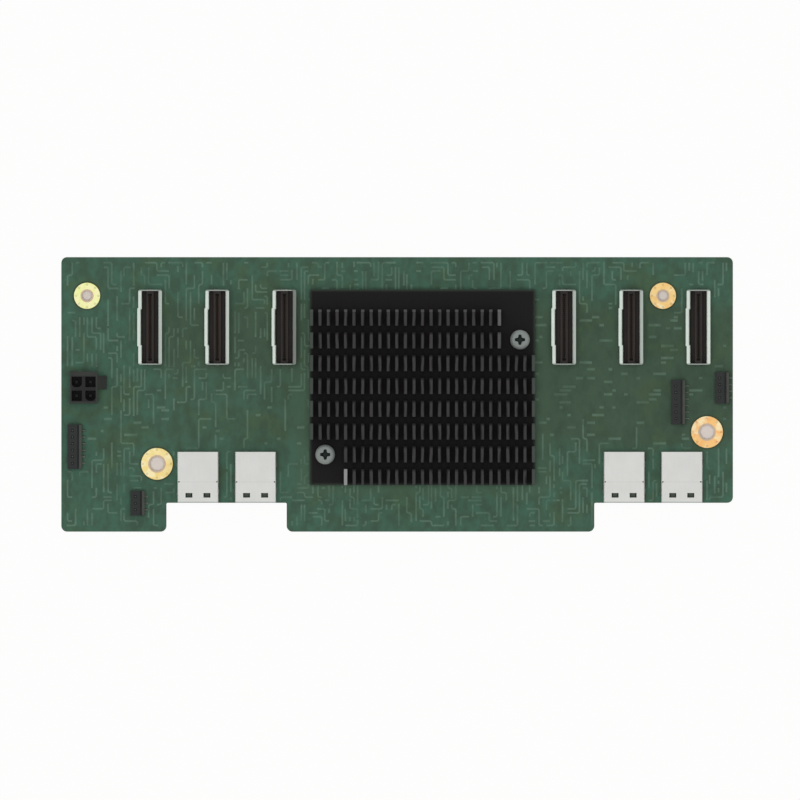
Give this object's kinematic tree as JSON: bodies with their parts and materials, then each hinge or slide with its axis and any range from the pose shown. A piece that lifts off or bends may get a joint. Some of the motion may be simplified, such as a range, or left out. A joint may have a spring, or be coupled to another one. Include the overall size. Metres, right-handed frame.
{
  "type": "server midplane board",
  "caption": "Notched green circuit board with a finned heat sink, upright keyed cable sockets, shielded cable ports at its notches, a power header and plated mounting holes.",
  "frame": {"origin": "under the middle of the board's outline, on the plane of the lowest solder tails and nut flanges", "axes": "+X along the board's long side, +Y from the notched long edge to the plain long edge, +Z off the component side"},
  "size_m": [0.205, 0.0838, 0.0207],
  "materials": {
    "solder_mask": "green solder mask on glass-fibre laminate",
    "pad_gold": "thin gold plating over copper",
    "chip_laminate": "green laminate",
    "nickel_plate": "matt nickel plate on copper",
    "thermal_grey": "soft grey silicone",
    "black_anodised": "black anodised extrusion with sawn fins",
    "screw_steel": "zinc-plated steel",
    "spring_steel": "drawn spring wire",
    "nut_steel": "tin-plated steel",
    "shell_steel": "tin-plated formed sheet",
    "cage_steel": "tin-plated folded sheet",
    "black_resin": "glass-filled moulded resin",
    "contact_gold": "gold-flashed copper alloy",
    "pin_tin": "tin-plated brass"
  },
  "bodies": {
    "root": {"bus_header_body": "black_resin", "bus_header_pins": "pin_tin", "chip_lid": "nickel_plate", "chip_substrate": "chip_laminate", "circuit_board": "solder_mask", "corner_header_body": "black_resin", "corner_header_pins": "pin_tin", "heat_sink": "black_anodised", "heat_sink_screws": "screw_steel", "left_header_body": "black_resin", "left_header_pins": "pin_tin", "mount_pads": "pad_gold", "port_body_1": "black_resin", "port_body_2": "black_resin", "port_body_3": "black_resin", "port_body_4": "black_resin", "port_cage_1": "cage_steel", "port_cage_2": "cage_steel", "port_cage_3": "cage_steel", "port_cage_4": "cage_steel", "port_contacts_1": "contact_gold", "port_contacts_2": "contact_gold", "port_contacts_3": "contact_gold", "port_contacts_4": "contact_gold", "power_header_body": "black_resin", "power_header_pins": "pin_tin", "press_nuts": "nut_steel", "right_header_body": "black_resin", "right_header_pins": "pin_tin", "screw_springs": "spring_steel", "socket_body_1": "black_resin", "socket_body_2": "black_resin", "socket_body_3": "black_resin", "socket_body_4": "black_resin", "socket_body_5": "black_resin", "socket_body_6": "black_resin", "socket_contacts_1": "contact_gold", "socket_contacts_2": "contact_gold", "socket_contacts_3": "contact_gold", "socket_contacts_4": "contact_gold", "socket_contacts_5": "contact_gold", "socket_contacts_6": "contact_gold", "socket_shell_1": "shell_steel", "socket_shell_2": "shell_steel", "socket_shell_3": "shell_steel", "socket_shell_4": "shell_steel", "socket_shell_5": "shell_steel", "socket_shell_6": "shell_steel", "thermal_pad": "thermal_grey"}
  },
  "joints": []
}
